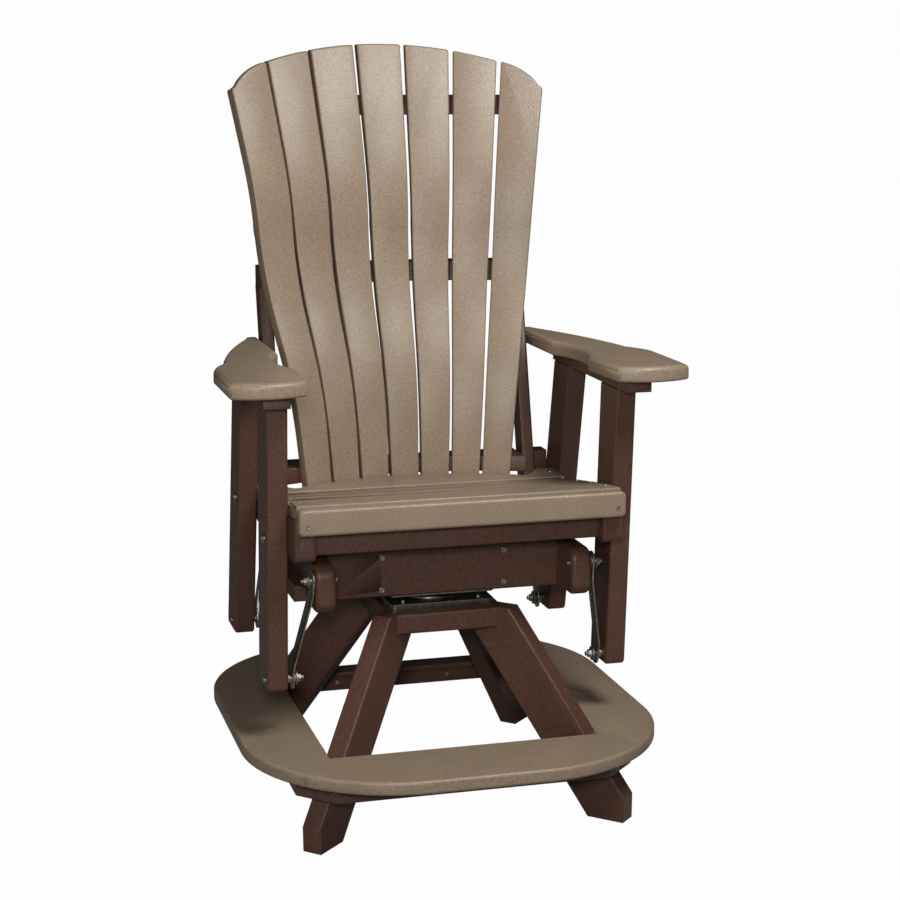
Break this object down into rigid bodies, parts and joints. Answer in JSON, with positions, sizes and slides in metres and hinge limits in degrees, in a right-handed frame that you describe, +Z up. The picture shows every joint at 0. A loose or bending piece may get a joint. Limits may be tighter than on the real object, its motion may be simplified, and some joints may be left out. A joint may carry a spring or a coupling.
{
  "type": "swivel glider chair",
  "caption": "Outdoor swivel glider armchair in plastic lumber: fan back of slats and a sloped slat seat hung on four links from a frame that turns on a splayed base with a foot ring.",
  "frame": {"origin": "on the floor, on the axis of the swivel and at the middle of the bottom of the bounding box", "axes": "+Z up; -Y is the way the sitter faces; +X is at the sitter's left hand, which is the viewer's right from the front"},
  "size_m": [0.826, 0.8408, 1.388],
  "materials": {
    "tan_lumber": "speckled tan plastic lumber with a fine satin grain",
    "brown_lumber": "dark brown plastic lumber with a fine satin grain",
    "stainless_steel": "brushed stainless steel",
    "zinc_plated_steel": "zinc plated pressed steel"
  },
  "bodies": {
    "base": {"ball_cage": "zinc_plated_steel", "base_screws": "stainless_steel", "front_left_leg": "brown_lumber", "front_right_leg": "brown_lumber", "king_bolt": "stainless_steel", "race_balls": "stainless_steel", "rear_left_leg": "brown_lumber", "rear_right_leg": "brown_lumber", "ring_front_board": "tan_lumber", "ring_left_board": "tan_lumber", "ring_rail_front": "brown_lumber", "ring_rail_left": "brown_lumber", "ring_rail_rear": "brown_lumber", "ring_rail_right": "brown_lumber", "ring_rear_boards": "tan_lumber", "ring_right_board": "tan_lumber", "swivel_lower_plate": "zinc_plated_steel", "top_blocks": "brown_lumber"},
    "glider_frame": {"frame_bolts": "stainless_steel", "glider_cross_front": "brown_lumber", "glider_cross_rear": "brown_lumber", "glider_rail_left": "brown_lumber", "glider_rail_right": "brown_lumber", "spacer_boards": "brown_lumber", "swivel_upper_plate": "zinc_plated_steel", "top_pivot_bolts": "stainless_steel"},
    "link_front_left": {"link_front_left": "stainless_steel"},
    "link_front_right": {"link_front_right": "stainless_steel"},
    "link_rear_left": {"link_rear_left": "stainless_steel"},
    "link_rear_right": {"link_rear_right": "stainless_steel"},
    "seat_unit": {"arm_left": "tan_lumber", "arm_right": "tan_lumber", "arm_supports": "brown_lumber", "back_cleats": "brown_lumber", "back_rail_high": "brown_lumber", "back_rail_low": "brown_lumber", "back_rail_mid": "brown_lumber", "back_slat_1": "tan_lumber", "back_slat_2": "tan_lumber", "back_slat_3": "tan_lumber", "back_slat_4": "tan_lumber", "back_slat_5": "tan_lumber", "back_slat_6": "tan_lumber", "back_slat_7": "tan_lumber", "back_upright_left": "brown_lumber", "back_upright_right": "brown_lumber", "front_left_post": "brown_lumber", "front_right_post": "brown_lumber", "low_pivot_bolts": "stainless_steel", "post_bolts": "stainless_steel", "rear_left_post": "brown_lumber", "rear_right_post": "brown_lumber", "seat_cross_front": "brown_lumber", "seat_cross_rear": "brown_lumber", "seat_front_board": "tan_lumber", "seat_rail_left": "brown_lumber", "seat_rail_right": "brown_lumber", "seat_screws": "stainless_steel", "seat_slat_rear": "tan_lumber", "seat_slats": "tan_lumber"}
  },
  "joints": [
    {"name": "swivel", "type": "hinge", "parent": "base", "child": "glider_frame", "pos_m": [0, 0, 0.385], "axis": [0, 0, 1], "continuous": true},
    {"name": "link_front_left_pivot", "type": "hinge", "parent": "glider_frame", "child": "link_front_left", "pos_m": [-0.2606, -0.187, 0.457], "axis": [1, 0, 0], "range_deg": [-12.4, 12.4]},
    {"name": "link_front_right_pivot", "type": "hinge", "parent": "glider_frame", "child": "link_front_right", "pos_m": [0.2606, -0.187, 0.457], "axis": [1, 0, 0], "range_deg": [-12.4, 12.4]},
    {"name": "link_rear_left_pivot", "type": "hinge", "parent": "glider_frame", "child": "link_rear_left", "pos_m": [-0.2606, 0.275, 0.469], "axis": [1, 0, 0], "range_deg": [-12.4, 12.4]},
    {"name": "link_rear_right_pivot", "type": "hinge", "parent": "glider_frame", "child": "link_rear_right", "pos_m": [0.2606, 0.275, 0.469], "axis": [1, 0, 0], "range_deg": [-12.4, 12.4]},
    {"name": "seat_glide", "type": "hinge", "parent": "link_front_left", "child": "seat_unit", "pos_m": [-0.2894, -0.137, 0.2655], "axis": [1, 0, 0], "range_deg": [-15.29, 15.29]}
  ],
  "couplings": [
    {"joint": "link_front_left_pivot", "follows": "seat_glide", "ratio": -0.78448},
    {"joint": "link_front_right_pivot", "follows": "seat_glide", "ratio": -0.78448},
    {"joint": "link_rear_left_pivot", "follows": "seat_glide", "ratio": -0.79847},
    {"joint": "link_rear_right_pivot", "follows": "seat_glide", "ratio": -0.79847}
  ]
}
